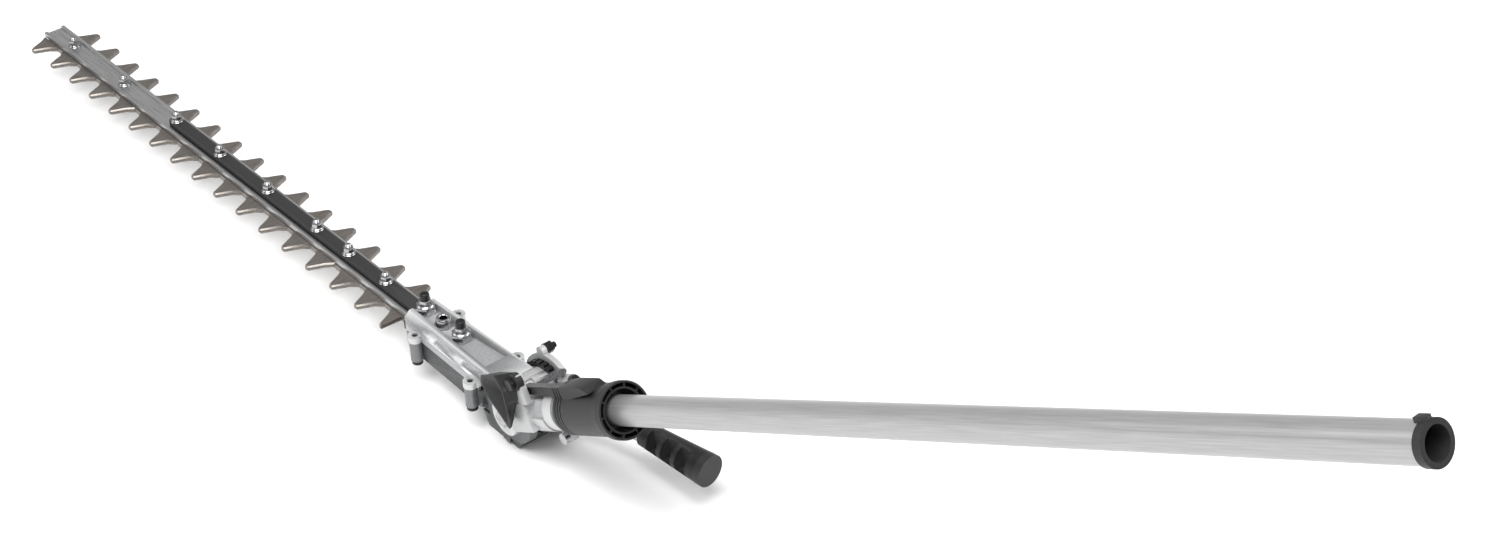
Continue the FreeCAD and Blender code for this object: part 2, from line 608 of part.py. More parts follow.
def case_screws():
    """Four screws up through the bosses of the lower case into the lugs."""
    out = []
    for x, y in lug_screw_axes():
        head = along_z(BOSS_BASE - 3.6, BOSS_BASE, 4.4, x, y)
        out.append(head.fuse(along_z(BOSS_BASE - 1, LUG_TOP - 1.5, 2.4, x, y)))
    return group(out)


def index_ring():
    """Index disc on the hub's right face with lock notches round its rim."""
    ring = ring_y(RING_Y[0] + 0.02, RING_Y[1], RING_R, 9.0)
    notches = []
    for i in range(30):
        angle = math.radians(12 * i + 3)
        x, z = (RING_R - 1.0) * math.cos(angle), (RING_R - 1.0) * math.sin(angle)
        notches.append(along_y(RING_Y[0] - 1, RING_Y[1] + 1, 1.4, x, PIVOT_H + z))
    return ring.cut(notches)


def blade_wiper():
    """Wiper seal round the blades at the front of the case."""
    frame = block(CASE_FRONT - 2.5, CASE_FRONT - 0.02, -13, 13, WINDOW_Z - 1.6, PARTING)
    half = SPINE_HALF + 0.8
    return frame.cut(block(CASE_FRONT - 4, CASE_FRONT + 1, -half, half, WINDOW_Z + 0.2, PARTING + 1))


def grease_boss():
    """Grease fitting between the stud nuts."""
    z = PLATEAU_Z
    x = sum(STUD_X) / 2
    body = along_z(z, z + 1.2, 7.6, x).fuse(frustum(V(x, 0, z + 1.2), Z_DIR, 6.4, 5.6, 6.4))
    return union([body, along_z(z - 3.0, z, 4.0, x)]).cut(along_z(z - 3.2, z + 12, 3.0, x))


# ---------------------------------------------------------------- cutting bar

def tooth(tip_x, side):
    """One tooth outline from the spine: wide curved root, tapering to a blunt tip."""
    root, shoulder, tip = 13.0, 8.2, 2.6
    base = SPINE_HALF - 1.0
    mid = SPINE_HALF + 5.5
    pts = [(tip_x - root, side * base), (tip_x - shoulder, side * mid),
           (tip_x - tip, side * (TOOTH_REACH - 1.5)),
           (tip_x - tip + 1.5, side * TOOTH_REACH), (tip_x + tip - 0.5, side * TOOTH_REACH),
           (tip_x + tip + 0.6, side * (TOOTH_REACH - 1.5)), (tip_x + shoulder, side * mid),
           (tip_x + root, side * base)]
    return pts if side > 0 else pts[::-1]


def blade(z_top):
    """Toothed blade with bolt slots and a fork round the eccentric."""
    z0, z1 = z_top - BLADE_T, z_top
    parts = [block(BLADE_TIP_X, CRANK_X - 21, -SPINE_HALF, SPINE_HALF, z0, z1)]
    parts += [plate_xy(tooth(LEFT_TIP + PITCH * i, -1), z0, z1) for i in range(TEETH_LEFT)]
    parts += [plate_xy(tooth(RIGHT_TIP + PITCH * i, 1), z0, z1) for i in range(TEETH_RIGHT)]
    for side in (-1, 1):
        y0, y1 = sorted((side * FORK_HALF, side * 15.6))
        parts.append(block(CRANK_X - 18, CRANK_X + 14, y0, y1, z0, z1))
    parts.append(block(CRANK_X - 22, CRANK_X - 18, -15.6, 15.6, z0, z1))
    body = union(parts)
    for side in (-1, 1):
        y0, y1 = sorted((side * SPINE_HALF, side * 40))
        body = body.cut(block(CASE_FRONT - 9.5, CRANK_X - 23, y0, y1, z0 - 1, z1 + 1))
    reach = STROKE + GAP
    cuts = []
    for x in BOLT_X:
        slot = block(x - reach, x + reach, -SPACER_R - GAP, SPACER_R + GAP, z0 - 1, z1 + 1)
        ends = [along_z(z0 - 1, z1 + 1, SPACER_R + GAP, x + s * reach) for s in (-1, 1)]
        cuts += [slot] + ends
    for x in STUD_X:
        slot = block(x - reach, x + reach, -3.2 - GAP - 0.4, 3.2 + GAP + 0.4, z0 - 1, z1 + 1)
        ends = [along_z(z0 - 1, z1 + 1, 3.2 + GAP + 0.4, x + s * reach) for s in (-1, 1)]
        cuts += [slot] + ends
    return body.cut(cuts)


def upper_blade():
    """Blade directly under the bar."""
    return blade(BLADE_TOP)


def lower_blade():
    """Blade under the upper blade."""
    return blade(BLADE_TOP - BLADE_T - BLADE_GAP)


def bar_holes(z0, z1):
    """Holes for the bar bolts and the case studs."""
    bolts = [along_z(z0, z1, BOLT_R, x) for x in BOLT_X]
    return bolts + [along_z(z0, z1, 3.0, x) for x in STUD_X]


def guide_bar():
    """Channel-section bar on top of the blades, with raised lips along both edges."""
    web = block(BAR_FROM, BAR_TO, -BAR_HALF, BAR_HALF, BAR_BASE, BAR_BASE + BAR_WEB)
    lips = []
    for side in (-1, 1):
        y0, y1 = sorted((side * BAR_HALF, side * (BAR_HALF - 3.2)))
        lips.append(block(BAR_FROM, BAR_TO, y0, y1, BAR_BASE, BAR_BASE + BAR_LIP))
    return union([web] + lips).cut(bar_holes(20, 60))


def top_strip():
    """Dark stiffener strip along the rear of the bar, with a round front end."""
    z0 = BAR_BASE + BAR_WEB + 0.02
    body = block(STRIP_FROM + STRIP_HALF, STRIP_TO, -STRIP_HALF, STRIP_HALF, z0, z0 + STRIP_T)
    nose = along_z(z0, z0 + STRIP_T, STRIP_HALF, STRIP_FROM + STRIP_HALF)
    return union([body, nose]).cut(bar_holes(20, 60))


def support_strip():
    """Thin strip under the blades that the bar bolts pull up."""
    z1 = LOW_BLADE_BASE - BLADE_GAP
    body = block(BLADE_TIP_X + 6, CASE_FRONT - 4, -8.5, 8.5, z1 - 2.6, z1)
    return body.cut(bar_holes(0, 60))


def bolt_seat(x):
    """Height that the bar washers sit on: the strip where it runs, else the bar's web."""
    on_strip = x > STRIP_FROM
    return BAR_BASE + BAR_WEB + 0.02 + (STRIP_T if on_strip else 0.0)


def bar_spacers():
    """Spacer sleeves in the blade slots that set the blades' running gap."""
    z0, z1 = LOW_BLADE_BASE - BLADE_GAP, BAR_BASE
    return group([ring_z(z0, z1, SPACER_R, BOLT_R, x) for x in BOLT_X])


def bar_bolts():
    """Bolts up through the support strip, blades, bar and strip."""
    out = []
    for x in BOLT_X:
        base = LOW_BLADE_BASE - BLADE_GAP - 2.6
        head = along_z(base - 2.4, base, 4.6, x)
        out.append(head.fuse(along_z(base - 1, bolt_seat(x) + 9.5, BOLT_R, x)))
    return group(out)


def bar_washers():
    """Washers under the bar nuts."""
    return group([ring_z(bolt_seat(x), bolt_seat(x) + 1.1, 5.6, BOLT_R, x) for x in BOLT_X])


def bar_nuts():
    """Flanged nuts on the bar bolts."""
    out = []
    for x in BOLT_X:
        z = bolt_seat(x) + 1.1
        flange = along_z(z, z + 1.2, 4.9, x)
        nut = hexagon(7.6, V(x, 0, z + 1.0), Z_DIR, 4.6)
        out.append(flange.fuse(nut).cut(along_z(0, 80, BOLT_R, x)))
    return group(out)


def case_studs():
    """Studs from the lower case up through the plateau."""
    return group([along_z(BOSS_BASE + 3, STUD_END, 3.0, x) for x in STUD_X])


def case_nuts():
    """Large hex nuts with a turned collar, clamping the bar into the case."""
    out = []
    for x in STUD_X:
        nut = hexagon(14.5, V(x, 0, PLATEAU_Z), Z_DIR, NUT_TOP - PLATEAU_Z)
        collar = along_z(NUT_TOP - 0.1, COLLAR_TOP, 6.4, x)
        out.append(nut.fuse(collar).cut(along_z(0, 80, 3.0, x)))
    return group(out)


def lock_nuts():
    """Thin nuts that lock the large nuts."""
    out = []
    for x in STUD_X:
        nut = hexagon(9.0, V(x, 0, COLLAR_TOP), Z_DIR, LOCK_TOP - COLLAR_TOP)
        out.append(nut.cut(along_z(0, 80, 3.0, x)))
    return group(out)


def stud_caps():
    """Dark caps on the stud ends."""
    out = []
    for x in STUD_X:
        dome = Part.makeSphere(3.9, V(x, 0, STUD_END - 1.0))
        cap = union([along_z(LOCK_TOP, STUD_END - 1.0, 3.9, x), dome])
        cap = cap.cut(block(x - 9, x + 9, -9, 9, 0, LOCK_TOP))
        out.append(cap.cut(along_z(0, STUD_END, 3.0, x)))
    return group(out)


# ---------------------------------------------------------------- swivel lever

def lever_axis():
    """Direction and length of the grip."""
    return V(*LEVER_TO) - V(*LEVER_FROM)


def lever():
    """Grip of the swivel lever: tapered body with pockets on the outer side and an end cap rim."""
    axis = lever_axis()
    body = frustum(V(*LEVER_FROM), axis, 9.5, 12.6, axis.Length - 6)
    cap = cyl(V(*LEVER_TO) - axis.normalize() * 6.2, axis, 12.8, 6.2)
    out = union([body, cap])
    for i in range(3):
        x = 94 + 15 * i
        out = out.cut(block(x, x + 11, 30, 47 + 1.2 * i, LEVER_FROM[2] - 7, LEVER_FROM[2] + 20))
    return out.cut(lever_bracket())


def lever_bracket():
    """Arm clamped on the axle's right end that carries the grip."""
    eye = along_y(29.4, 34.0, 10.0)
    web = block(0, 30, 29.4, 34.0, PIVOT_H - 9, PIVOT_H + 6)
    low, high, grip = PIVOT_H - 9, PIVOT_H + 6, LEVER_FROM[2]
    arm = loft([(30, 29.4, low), (30, 34, low), (30, 34, high), (30, 29.4, high)],
               [(90, 43, grip - 5), (90, 51, grip - 5), (90, 51, grip + 5), (90, 43, grip + 5)])
    return union([eye, web, arm]).cut(along_y(20, 50, AXLE_R))


NODES = {
    "shaft_tube": shaft_tube, "end_collar": end_collar, "tube_bushes": tube_bushes, "yoke": yoke,
    "pivot_axle": pivot_axle, "axle_nut": axle_nut, "clamp_ring": clamp_ring, "clamp_bolt": clamp_bolt,
    "neck_saddle": neck_saddle, "flange_ring": flange_ring, "ear_screw": ear_screw, "lock_bolt": lock_bolt,
    "joint_shutter": joint_shutter, "joint_cover": joint_cover, "cover_screw": cover_screw,
    "pinion_bearing": pinion_bearing, "release_sleeve": release_sleeve, "push_bar": push_bar,
    "lock_pin": lock_pin, "sleeve_spring": sleeve_spring,
    "spring_stop": spring_stop, "drive_shaft": drive_shaft,
    "drive_pinion": drive_pinion, "cross_gear": cross_gear, "head_pinion": head_pinion,
    "head_pinion_bearing": head_pinion_bearing, "crank_gear": crank_gear, "crank_bearings": crank_bearings,
    "upper_case": upper_case, "lower_case": lower_case, "case_screws": case_screws, "fork_bushes": fork_bushes,
    "index_ring": index_ring, "blade_wiper": blade_wiper, "grease_boss": grease_boss,
    "upper_blade": upper_blade, "lower_blade": lower_blade, "guide_bar": guide_bar, "top_strip": top_strip,
    "support_strip": support_strip, "bar_spacers": bar_spacers, "bar_bolts": bar_bolts,
    "bar_washers": bar_washers, "bar_nuts": bar_nuts, "case_studs": case_studs, "case_nuts": case_nuts,
    "lock_nuts": lock_nuts, "stud_caps": stud_caps, "lever": lever, "lever_bracket": lever_bracket,
}


def main():
    """Writes one STEP file for each node."""
    os.makedirs("parts", exist_ok=True)
    for name, make in NODES.items():
        shape = make()
        if not shape.isValid():
            print("not valid:", name)
        shape.exportStep("parts/%s.step" % name)
        box = shape.BoundBox
        print("%-20s solids %2d  volume %8.0f  x %.1f..%.1f  y %.1f..%.1f  z %.1f..%.1f" % (
            name, len(shape.Solids), shape.Volume, box.XMin, box.XMax, box.YMin, box.YMax, box.ZMin, box.ZMax))


main()
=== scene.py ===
"""Visual model of a long-reach hedge trimmer head: finishes, detailed pieces and a small studio.

Pieces are modelled in millimetres, in the frame's axes: +X from the blade's tip to the tube,
+Y to the lever's side and +Z up. piece() turns them to metres. Pieces on the tube are modelled
along it from the tilt pivot, and TUBE_FRAME puts them in place.
"""
import json
import math

import bmesh
import bpy
from mathutils import Matrix, Vector


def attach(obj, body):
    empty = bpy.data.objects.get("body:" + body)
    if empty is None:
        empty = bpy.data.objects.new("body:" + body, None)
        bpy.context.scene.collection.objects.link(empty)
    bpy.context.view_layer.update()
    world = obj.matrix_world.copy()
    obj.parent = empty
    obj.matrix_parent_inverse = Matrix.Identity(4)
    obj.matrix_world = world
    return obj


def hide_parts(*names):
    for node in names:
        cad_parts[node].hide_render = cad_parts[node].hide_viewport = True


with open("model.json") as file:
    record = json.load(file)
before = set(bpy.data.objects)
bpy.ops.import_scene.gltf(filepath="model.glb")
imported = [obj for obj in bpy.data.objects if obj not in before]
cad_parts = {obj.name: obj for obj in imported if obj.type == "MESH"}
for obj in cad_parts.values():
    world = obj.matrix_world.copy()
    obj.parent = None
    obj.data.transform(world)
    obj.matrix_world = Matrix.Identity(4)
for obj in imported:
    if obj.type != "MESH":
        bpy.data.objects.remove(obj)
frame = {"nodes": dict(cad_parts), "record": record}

bl_info = {
    "name": "Hedge Trimmer Head",
    "version": (1, 0, 0),
    "blender": (4, 5, 0),
    "location": "View3D > Sidebar > Trimmer",
    "description": "Finished look of a long-reach hedge trimmer head round its CAD frame",
    "category": "Add Mesh",
}

MM = 0.001
MERGE = 1e-4  # mm between the corners of a new piece that become one
CAD_MERGE = 2e-3  # mm between the corners of a CAD copy that become one
FLAT = math.radians(0.6)  # a CAD copy's faces that turn less than this become one
FOLD = 35  # degrees: a wider fold shades as an edge

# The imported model: its box, joints, bodies and finishes
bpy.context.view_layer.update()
RECORD = frame["record"]
JOINTS = {joint["name"]: joint for joint in RECORD["behaviour"]["joints"]}
BODIES = {node: body for body, nodes in RECORD["behaviour"]["bodies"].items() for node in nodes}
SLOTS = {entry["node"]: entry["material_slot"] for entry in RECORD["subparts"]}

# The tube's frame in mm: X along it, Y across it, Z above it, from the tilt pivot
ALONG = Vector(JOINTS["sleeve_slide"]["axis"]).normalized()
ACROSS = Vector((0, 1, 0))
TUBE_FRAME = Matrix((ALONG, ACROSS, ALONG.cross(ACROSS))).transposed().to_4x4()
TUBE_FRAME.translation = Vector(JOINTS["head_tilt"]["pos_m"]) / MM

# Width of the rounded edges of the castings, mouldings and bars, in mm
ROUNDED = {
    "upper_case": 0.7, "lower_case": 0.8, "yoke": 0.8, "flange_ring": 0.6, "neck_saddle": 0.4,
    "clamp_ring": 0.6, "lever_bracket": 0.8, "joint_cover": 0.5, "release_sleeve": 0.4,
    "lever": 1.1, "push_bar": 0.4, "guide_bar": 0.35, "top_strip": 0.5, "support_strip": 0.3,
    "index_ring": 0.25, "blade_wiper": 0.3,
}
COLLAR_ROUNDED = 0.25

# Smaller folds, in degrees, that keep the flat facets of the mouldings crisp
FACETED = {"joint_cover": 12, "release_sleeve": 18, "lever": 24, "push_bar": 20}
BLADE_FOLD = 20

# Blade, in mm from its middle line: teeth start at the root, and their ground edges reach the side
TOOTH_ROOT = 9.9
TOOTH_SIDE = 12.5

# Fasteners, in mm: hexagons across their flats, the rest as radii and heights
BAR_NUT_FLATS = 7.6
BAR_NUT_FLANGE = 1.4
BAR_WASHER_BORE = 2.6
BAR_BOLT_THREAD = 2.45
BAR_BOLT_HEAD = 2.4
CASE_NUT_FLATS = 14.5
CASE_NUT_COLLAR = 7.0
LOCK_NUT_FLATS = 9.0
STUD_THREAD = 2.95
STUD_PITCH = 1.0
CAP_RADIUS = 3.9
GREASE_FLANGE = 7.6
GREASE_BORE = 3.0
LOCK_BOLT_FLATS = 8.0
LOCK_BOLT_COLLAR = 4.8
JOINT_SCREW_HEAD = (4.6, 4.0)
CASE_SCREW_HEAD = (4.4, 3.6)
THREAD_PITCH = 0.9
THREAD_DEPTH = 0.32

# Drawn tube, in mm
TUBE_OUTER = 11.2
TUBE_INNER = 9.6
TUBE_RIM = 0.3
TUBE_SEGMENTS = 72

# Area lights: name, place, aim and size in m, power in W
LIGHTS = (
    ("key_overhead", (0.6, -0.9, 2.6), (-0.1, 0.0, 0.1), (2.2, 1.6), 84),
    ("fill_left", (-1.8, -1.6, 1.4), (-0.1, 0.0, 0.1), (1.4, 1.0), 9),
    ("rim_right", (1.0, 2.0, 1.8), (0.0, 0.0, 0.1), (2.0, 1.0), 22),
)
SKY_STRENGTH = 0.5
SENSOR_WIDTH = 36.0  # mm
VIEW_END = 50.0  # m


# ------------------------------------------------------------------ shader helpers

def linear(hex_colour, alpha=1.0):
    """sRGB hex to the linear colour that a shader socket takes."""
    values = [int(hex_colour[i:i + 2], 16) / 255 for i in (1, 3, 5)]
    return [v / 12.92 if v <= 0.04045 else ((v + 0.055) / 1.055) ** 2.4 for v in values] + [alpha]


def add_node(tree, kind, settings=None, links=None):
    """Adds a node, sets its properties or inputs, and links inputs from (node, output) pairs."""
    node = tree.nodes.new(kind)
    for key, value in (settings or {}).items():
        if hasattr(node, key):
            setattr(node, key, value)
        else:
            node.inputs[key].default_value = value
    for key, (source, output) in (links or {}).items():
        tree.links.new(source.outputs[output], node.inputs[key])
    return node


def ramp(tree, source, output, first, last):
    """Colour ramp between two (position, colour) stops."""
    node = add_node(tree, "ShaderNodeValToRGB", links={"Fac": (source, output)})
    for element, (position, colour) in zip(node.color_ramp.elements, (first, last)):
        element.position, element.color = position, colour
    return node


def per_metre(size_mm):
    """Texture scale whose cells are about size_mm across."""
    return 1.0 / (size_mm * MM)


# ------------------------------------------------------------------ mesh helpers

def link_object(name, data):
    """A new object for a mesh or light, in the scene."""
    obj = bpy.data.objects.new(name, data)
    bpy.context.scene.collection.objects.link(obj)
    return obj


def piece(node, made, bm, smooth=FOLD):
    """Turns a bmesh in millimetres into the finished piece that stands for a CAD node."""
    if not bm.faces:
        raise RuntimeError("nothing was modelled for " + node)
    bmesh.ops.remove_doubles(bm, verts=bm.verts, dist=MERGE)
    bmesh.ops.recalc_face_normals(bm, faces=bm.faces)
    bmesh.ops.scale(bm, vec=(MM, MM, MM), verts=bm.verts)
    name = node + "_" + made
    mesh = bpy.data.meshes.new(name)
    bm.to_mesh(mesh)
    bm.free()
    obj = link_object(name, mesh)
    mesh.shade_smooth()
    mesh.set_sharp_from_angle(angle=math.radians(smooth))
    mesh.materials.append(FINISHES[SLOTS[node]]())
    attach(obj, BODIES[node])
    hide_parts(node)


def cad_copy(node):
    """A merged copy of a CAD node's mesh as a bmesh in millimetres."""
    bm = bmesh.new()
    bm.from_mesh(frame["nodes"][node].data)
    bmesh.ops.scale(bm, vec=(1 / MM,) * 3, verts=bm.verts)
    bmesh.ops.remove_doubles(bm, verts=bm.verts, dist=CAD_MERGE)
    bmesh.ops.dissolve_limit(bm, angle_limit=FLAT, verts=bm.verts, edges=bm.edges)
    return bm


def corners(points):
    """Lower and upper corner of the box round some points."""
    columns = list(zip(*points))
    return Vector(map(min, columns)), Vector(map(max, columns))


def islands(node):
    """Corners, in millimetres, of each separate solid of a CAD node, from the tip backwards."""
    bm = cad_copy(node)
    waiting = set(bm.verts)
    boxes = []
    while waiting:
        group, reached = [], [waiting.pop()]
        while reached:
            vert = reached.pop()
            group.append(vert.co)
            for link in vert.link_edges:
                other = link.other_vert(vert)
                if other in waiting:
                    waiting.discard(other)
                    reached.append(other)
        boxes.append(corners(group))
    bm.free()
    return sorted(boxes, key=lambda box: (box[0].x, box[0].y))


def tube_box(node):
    """Corners, in millimetres, of a CAD node measured in the tube's frame."""
    back = TUBE_FRAME.inverted()
    bm = cad_copy(node)
    box = corners([back @ v.co for v in bm.verts])
    bm.free()
    return box


def side_middle(box, direction):
    """Middle of the side of a box that looks along a direction."""
    low, high = box
    half = (high - low) / 2
    return low + half + Vector(part * reach for part, reach in zip(direction, half))


def moved(bm, location=(0, 0, 0), matrix=None):
    """The same bmesh, shifted to a location or put through a matrix."""
    bmesh.ops.transform(bm, matrix=matrix or Matrix.Translation(location), verts=bm.verts)
    return bm


def towards(direction, origin=(0, 0, 0)):
    """Matrix that stands a +Z model on an origin, along a direction."""
    matrix = Vector(direction).to_track_quat("Z", "Y").to_matrix().to_4x4()
    matrix.translation = Vector(origin)
    return matrix


def joined(parts):
    """One bmesh from several."""
    out = bmesh.new()
    for part in parts:
        mesh = bpy.data.meshes.new("part")
        part.to_mesh(mesh)
        part.free()
        out.from_mesh(mesh)
        bpy.data.meshes.remove(mesh)
    return out


def at_each(node, shape):
    """One bmesh with shape(radius, lower z, upper z) at each separate solid of a CAD node."""
    made = []
    for low, high in islands(node):
        fastener = shape((high.y - low.y) / 2, low.z, high.z)
        made.append(moved(fastener, ((low.x + high.x) / 2, (low.y + high.y) / 2, 0)))
    return joined(made)


def soften(bm, width, over=4.0, angle=32):
    """Rounds the sharp edges of a casting or moulding that are longer than over mm."""
    sharp = [e for e in bm.edges if len(e.link_faces) == 2 and e.calc_length() > over
             and e.calc_face_angle(0) > math.radians(angle)]
    if sharp:
        bmesh.ops.bevel(bm, geom=sharp, offset=width, offset_type="OFFSET", segments=2,
                        profile=0.5, affect="EDGES", clamp_overlap=True, material=-1)
    return bm


def turned(profile, segments=32):
    """Solid of revolution about +Z from (radius, height) points, closed at both ends."""
    bm = bmesh.new()
    verts = [bm.verts.new((radius, 0, height)) for radius, height in profile]
    edges = [bm.edges.new(pair) for pair in zip(verts, verts[1:])]
    bmesh.ops.spin(bm, geom=verts + edges, cent=(0, 0, 0), axis=(0, 0, 1), angle=math.tau,
                   steps=segments, use_merge=True)
    bmesh.ops.remove_doubles(bm, verts=bm.verts, dist=MERGE)
    bmesh.ops.holes_fill(bm, edges=[e for e in bm.edges if e.is_boundary])
    return bm


# ------------------------------------------------------------------ fasteners

def hex_prism(across, z0, z1, chamfer):
    """Hexagonal nut blank with turned chamfers at both ends."""
    bm = bmesh.new()
    radius = across / math.sqrt(3)
    bmesh.ops.create_cone(bm, cap_ends=True, segments=6, radius1=radius, radius2=radius,
                          depth=z1 - z0)
    bmesh.ops.translate(bm, vec=(0, 0, (z0 + z1) / 2), verts=bm.verts)
    rims = [e for e in bm.edges if abs(e.verts[0].co.z - e.verts[1].co.z) < 1e-3]
    bmesh.ops.bevel(bm, geom=rims, offset=chamfer, segments=2, profile=0.5, affect="EDGES",
                    material=-1)
    return bm


def thread(radius, z0, z1, pitch=THREAD_PITCH):
    """Screw thread drawn as close rings, with a chamfered end."""
    profile = [(0, z0)]
    height = z0
    while height < z1 - pitch * 1.5:
        profile += [(radius, height), (radius, height + pitch * 0.3),
                    (radius - THREAD_DEPTH, height + pitch * 0.65)]
        height += pitch
    profile += [(radius, height), (radius, z1 - 0.6), (radius - 0.7, z1), (0, z1)]
    return turned(profile, 20)


def socket_screw(head, shank, socket, length):
    """Cap screw on +Z: head top at the origin, six-sided socket in it, shank below."""
    radius, rise = head
    depth = rise * 0.55
    shell = turned([(socket, 0), (radius - 0.4, 0), (radius, -0.4), (radius, -rise),
                    (shank, -rise), (shank, -length), (0, -length)])
    well = bmesh.new()
    bmesh.ops.create_cone(well, cap_ends=True, segments=6, radius1=socket * 1.02,
                          radius2=socket * 1.02, depth=depth)
    lid = [f for f in well.faces if f.normal.z > 0.5]
    bmesh.ops.delete(well, geom=lid, context="FACES_ONLY")
    bmesh.ops.reverse_faces(well, faces=well.faces)
    bmesh.ops.translate(well, vec=(0, 0, -depth / 2), verts=well.verts)
    return joined([shell, well])


def bar_nut(radius, z0, z1):
    """Hexagonal nut on a round flange that slopes up to it."""
    top = z0 + BAR_NUT_FLANGE
    flange = turned([(0, z0), (radius, z0), (radius, z0 + BAR_NUT_FLANGE / 2),
                     (radius - 0.9, top), (0, top)])
    return joined([flange, hex_prism(BAR_NUT_FLATS, z0 + 1.0, z1, 0.45)])


def bar_washer(radius, z0, z1):
    """Flat washer, its outer edges broken."""
    return turned([(BAR_WASHER_BORE, z0), (radius - 0.2, z0), (radius, z0 + 0.2),
                   (radius, z1 - 0.3), (radius - 0.3, z1), (BAR_WASHER_BORE, z1)])


def bar_bolt(radius, z0, z1):
    """Bolt with a low dished head below and its thread standing up."""
    top = z0 + BAR_BOLT_HEAD
    head = turned([(0, z0 + 0.6), (1.8, z0 + 0.2), (radius - 1.2, z0), (radius - 0.3, z0 + 0.5),
                   (radius, z0 + 1.3), (radius, top), (0, top)])
    return joined([head, thread(BAR_BOLT_THREAD, z0 + 2.0, z1)])


def case_nut(_radius, z0, z1):
    """Large hexagonal nut with a turned collar on top."""
    seat = z1 - 2
    collar = turned([(0, seat), (CASE_NUT_COLLAR - 0.1, seat), (CASE_NUT_COLLAR, z1 - 1.2),
                     (CASE_NUT_COLLAR - 0.8, z1 - 0.3), (CASE_NUT_COLLAR - 1.4, z1), (0, z1)])
    return joined([hex_prism(CASE_NUT_FLATS, z0, z1 - 1.5, 0.8), collar])


def lock_nut(_radius, z0, z1):
    """Thin hexagonal nut above the large one."""
    return hex_prism(LOCK_NUT_FLATS, z0, z1, 0.6)


def stud_cap(_radius, z0, z1):
    """Round black cap with a low domed top."""
    return turned([(3.1, z0), (CAP_RADIUS - 0.1, z0), (CAP_RADIUS, z0 + 0.8),
                   (CAP_RADIUS, z1 - 2.0), (CAP_RADIUS - 0.3, z1 - 1.0),
                   (CAP_RADIUS - 0.9, z1 - 0.35), (2.0, z1 - 0.06), (0, z1)])


def case_stud(_radius, z0, z1):
    """Threaded stud through the case."""
    return thread(STUD_THREAD, z0, z1, STUD_PITCH)


def grease_fitting(_radius, z0, z1):
    """Hollow turned fitting with a wide flange and a tapered neck."""
    base = z0 + 3.0
    return turned([(GREASE_BORE, z0), (4.0, z0), (4.0, base), (GREASE_FLANGE - 0.1, base),
                   (GREASE_FLANGE, base + 0.3), (GREASE_FLANGE - 0.2, base + 1.1),
                   (6.5, base + 1.5), (6.2, z1 - 2.2), (5.7, z1 - 0.5), (5.2, z1), (3.6, z1),
                   (GREASE_BORE + 0.1, z1 - 0.5), (GREASE_BORE, z0)], 40)


def case_screw(_radius, z0, z1):
    """Cap screw of the case, put in from below."""
    screw = socket_screw(CASE_SCREW_HEAD, 2.4, 2.1, z1 - z0)
    return moved(screw, matrix=towards((0, 0, -1), (0, 0, z0)))


def lock_bolt():
    """Hex bolt on a round collar, with the end of its thread above the hexagon."""
    collar = turned([(0, 0), (LOCK_BOLT_COLLAR - 0.1, 0), (LOCK_BOLT_COLLAR, 0.4),
                     (LOCK_BOLT_COLLAR - 0.2, 1.3), (LOCK_BOLT_COLLAR - 0.9, 1.7), (0, 1.7)])
    return joined([collar, hex_prism(LOCK_BOLT_FLATS, 1.5, 7.0, 0.5),
                   thread(BAR_BOLT_THREAD, 6.8, 10.3)])


# ------------------------------------------------------------------ finishes

# Blasted, moulded and ground grain is 0.05 to 0.2 mm in truth, too fine to show, so most patterns
# below are drawn about ten times as coarse.

def finish(name, colour, metallic, roughness, specular=0.5):
    """A material with its Principled shader, ready for its own pattern nodes."""
    material = bpy.data.materials.get(name)
    if material:
        return material, None, None
    material = bpy.data.materials.new(name)
    material.use_nodes = True
    tree = material.node_tree
    shader = tree.nodes["Principled BSDF"]
    shader.inputs["Base Color"].default_value = linear(colour)
    shader.inputs["Metallic"].default_value = metallic
    shader.inputs["Roughness"].default_value = roughness
    shader.inputs["Specular IOR Level"].default_value = specular
    return material, tree, shader


def object_noise(tree, size_mm, detail=3.0, **mapped):
    """Noise on Object coordinates with features about size_mm across, mapped as asked."""
    coordinates = add_node(tree, "ShaderNodeTexCoord")
    mapping = add_node(tree, "ShaderNodeMapping", mapped, {"Vector": (coordinates, "Object")})
    return add_node(tree, "ShaderNodeTexNoise", {"Scale": per_metre(size_mm), "Detail": detail},
                    {"Vector": (mapping, "Vector")})


def vary(tree, shader, noise, colours, roughness, bump_mm=0.0):
    """Colour, roughness and height that vary with one noise, each between two ends."""
    dark, light = colours
    shades = ramp(tree, noise, "Fac", (0.35, linear(dark)), (0.65, linear(light)))
    tree.links.new(shades.outputs["Color"], shader.inputs["Base Color"])
    smooth, rough = roughness
    spread = add_node(tree, "ShaderNodeMapRange", {"To Min": smooth, "To Max": rough},
                      {"Value": (noise, "Fac")})
    tree.links.new(spread.outputs["Result"], shader.inputs["Roughness"])
    if bump_mm:
        bump = add_node(tree, "ShaderNodeBump", {"Strength": 0.6, "Distance": bump_mm * MM},
                        {"Height": (noise, "Fac")})
        tree.links.new(bump.outputs["Normal"], shader.inputs["Normal"])


def worn_edges(tree, shader, colour, amount):
    """Lighter rubbed edges where the surface turns sharply."""
    geometry = add_node(tree, "ShaderNodeNewGeometry")
    rub = add_node(tree, "ShaderNodeMapRange",
                   {"From Min": 0.52, "From Max": 0.60, "To Max": amount},
                   {"Value": (geometry, "Pointiness")})
    source = shader.inputs["Base Color"].links[0].from_socket
    mix = add_node(tree, "ShaderNodeMix", {"data_type": "RGBA"})
    tree.links.new(rub.outputs["Result"], mix.inputs["Factor"])
    tree.links.new(source, mix.inputs["A"])
    mix.inputs["B"].default_value = linear(colour)
    tree.links.new(mix.outputs["Result"], shader.inputs["Base Color"])


